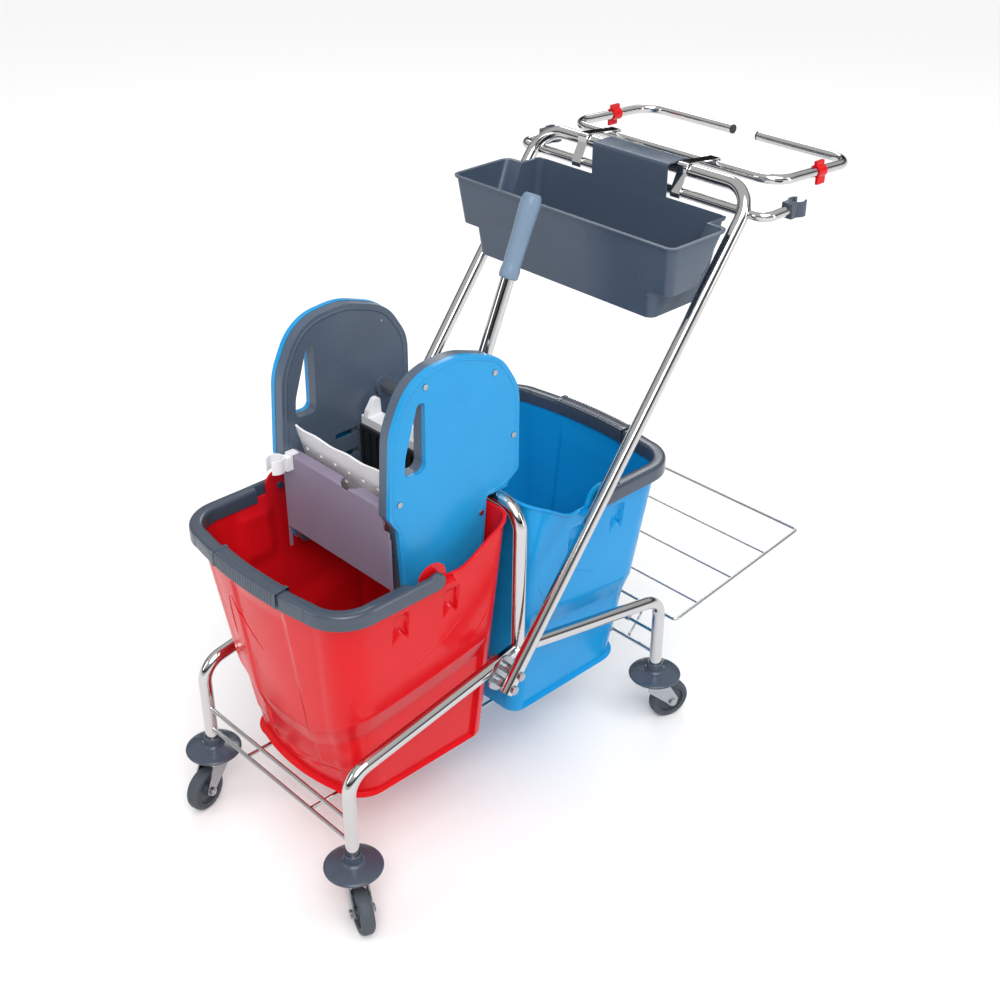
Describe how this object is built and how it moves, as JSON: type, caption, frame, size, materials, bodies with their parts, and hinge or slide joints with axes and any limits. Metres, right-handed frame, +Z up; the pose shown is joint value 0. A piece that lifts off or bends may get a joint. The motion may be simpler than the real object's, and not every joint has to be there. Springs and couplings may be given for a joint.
{
  "type": "mop and bucket trolley with wringer",
  "caption": "Wheeled steel-tube mop trolley with a red and a blue bucket, a geared press wringer with lever, a utility tray, a bag loop and a fold-up bag platform.",
  "frame": {"origin": "on the floor, midway between the four caster stems", "axes": "+X from the red bucket towards the push handle, +Y to the right side, +Z up"},
  "size_m": [1.176, 0.562, 1.0325],
  "materials": {
    "chrome_tube": "bright nickel-chrome plated steel tube",
    "bright_wire": "chrome plated round steel wire",
    "zinc_steel": "bright zinc plated pressed steel",
    "red_plastic": "moulded polypropylene, satin gloss",
    "blue_plastic": "moulded polypropylene, satin gloss",
    "wringer_blue": "moulded polypropylene, satin",
    "grey_plastic": "moulded polypropylene, fine satin",
    "panel_grey": "moulded polypropylene, warm grey satin",
    "grip_grey": "moulded polypropylene grip, satin",
    "shaft_grey": "glass-filled nylon, satin",
    "white_plastic": "moulded acetal, satin",
    "black_plastic": "moulded polypropylene, satin",
    "wheel_grey": "grey thermoplastic rubber tread"
  },
  "bodies": {
    "trolley": {"side_frame_left": "chrome_tube", "side_frame_right": "chrome_tube", "arch_tube": "chrome_tube", "cross_wires": "bright_wire", "base_rods": "bright_wire", "push_handle": "chrome_tube", "handle_crossbar": "chrome_tube", "frame_brackets": "zinc_steel", "handle_bolts": "zinc_steel", "bumper_discs": "grey_plastic", "caster_stems": "zinc_steel", "bag_loop": "chrome_tube", "loop_end_plugs": "black_plastic", "bag_straps": "chrome_tube", "bag_clips": "red_plastic", "mop_clips": "grey_plastic"},
    "caster_front_left": {"fork_front_left": "zinc_steel", "axle_front_left": "zinc_steel"},
    "wheel_front_left": {"tyre_front_left": "wheel_grey", "hub_front_left": "grey_plastic"},
    "caster_front_right": {"fork_front_right": "zinc_steel", "axle_front_right": "zinc_steel"},
    "wheel_front_right": {"tyre_front_right": "wheel_grey", "hub_front_right": "grey_plastic"},
    "caster_back_left": {"fork_back_left": "zinc_steel", "axle_back_left": "zinc_steel"},
    "wheel_back_left": {"tyre_back_left": "wheel_grey", "hub_back_left": "grey_plastic"},
    "caster_back_right": {"fork_back_right": "zinc_steel", "axle_back_right": "zinc_steel"},
    "wheel_back_right": {"tyre_back_right": "wheel_grey", "hub_back_right": "grey_plastic"},
    "red_bucket_body": {"red_bucket": "red_plastic"},
    "red_bail_body": {"red_bail": "grey_plastic", "red_bail_grip": "grey_plastic"},
    "blue_bucket_body": {"blue_bucket": "blue_plastic"},
    "blue_bail_body": {"blue_bail": "grey_plastic", "blue_bail_grip": "grey_plastic"},
    "wringer": {"wringer_shell_left": "wringer_blue", "wringer_shell_right": "wringer_blue", "wringer_inner_left": "grey_plastic", "wringer_inner_right": "grey_plastic", "shell_screws": "zinc_steel", "front_panel": "panel_grey", "front_jaw": "white_plastic", "drain_floor": "panel_grey", "rest_clip": "white_plastic"},
    "lever": {"wringer_shaft": "shaft_grey", "pinions": "shaft_grey", "lever_hub": "shaft_grey", "lever_tube": "chrome_tube", "lever_grip": "grip_grey"},
    "press": {"press_carrier": "white_plastic", "press_face": "black_plastic", "rack_carriages": "shaft_grey"},
    "tray": {"utility_tray": "grey_plastic"},
    "platform_body": {"platform": "bright_wire"}
  },
  "joints": [
    {"name": "swivel_front_left", "type": "hinge", "parent": "trolley", "child": "caster_front_left", "pos_m": [-0.349, -0.19, 0.09], "axis": [0, 0, 1], "continuous": true},
    {"name": "roll_front_left", "type": "hinge", "parent": "caster_front_left", "child": "wheel_front_left", "pos_m": [-0.36083, -0.22081, 0.0375], "axis": [0.9336, -0.3584, 0], "continuous": true},
    {"name": "swivel_front_right", "type": "hinge", "parent": "trolley", "child": "caster_front_right", "pos_m": [-0.349, 0.19, 0.09], "axis": [0, 0, 1], "continuous": true},
    {"name": "roll_front_right", "type": "hinge", "parent": "caster_front_right", "child": "wheel_front_right", "pos_m": [-0.38072, 0.1809, 0.0375], "axis": [0.2756, -0.9613, 0], "continuous": true},
    {"name": "swivel_back_left", "type": "hinge", "parent": "trolley", "child": "caster_back_left", "pos_m": [0.349, -0.19, 0.09], "axis": [0, 0, 1], "continuous": true},
    {"name": "roll_back_left", "type": "hinge", "parent": "caster_back_left", "child": "wheel_back_left", "pos_m": [0.38038, -0.2002, 0.0375], "axis": [0.309, 0.9511, 0], "continuous": true},
    {"name": "swivel_back_right", "type": "hinge", "parent": "trolley", "child": "caster_back_right", "pos_m": [0.349, 0.19, 0.09], "axis": [0, 0, 1], "continuous": true},
    {"name": "roll_back_right", "type": "hinge", "parent": "caster_back_right", "child": "wheel_back_right", "pos_m": [0.375, 0.21032, 0.0375], "axis": [-0.6157, 0.788, 0], "continuous": true},
    {"name": "red_bucket_lift", "type": "slide", "parent": "trolley", "child": "red_bucket_body", "axis": [0, 0, 1], "range_m": [0, 0.2]},
    {"name": "red_bail_swing", "type": "hinge", "parent": "red_bucket_body", "child": "red_bail_body", "pos_m": [-0.168, 0.006, 0.547], "axis": [0, 1, 0], "range_deg": [0, 60]},
    {"name": "blue_bucket_tip", "type": "hinge", "parent": "trolley", "child": "blue_bucket_body", "pos_m": [0.3125, 0, 0.1523], "axis": [0, 1, 0], "range_deg": [0, 16]},
    {"name": "blue_bail_swing", "type": "hinge", "parent": "blue_bucket_body", "child": "blue_bail_body", "pos_m": [0.176, 0, 0.547], "axis": [0, -1, 0], "range_deg": [0, 90]},
    {"name": "wringer_lift", "type": "slide", "parent": "red_bucket_body", "child": "wringer", "axis": [0, 0, 1], "range_m": [0, 0.2]},
    {"name": "lever_pull", "type": "hinge", "parent": "wringer", "child": "lever", "pos_m": [-0.007, 0, 0.7], "axis": [0, -1, 0], "range_deg": [0, 90]},
    {"name": "press_travel", "type": "slide", "parent": "wringer", "child": "press", "axis": [-1, 0, 0], "range_m": [0, 0.044]},
    {"name": "tray_lift", "type": "slide", "parent": "trolley", "child": "tray", "axis": [0, 0, 1], "range_m": [0, 0.06]},
    {"name": "platform_fold", "type": "hinge", "parent": "trolley", "child": "platform_body", "pos_m": [0.349, 0, 0.192], "axis": [0, -1, 0], "range_deg": [0, 50]}
  ],
  "couplings": [
    {"joint": "press_travel", "follows": "lever_pull", "m_per_rad": 0.028}
  ]
}
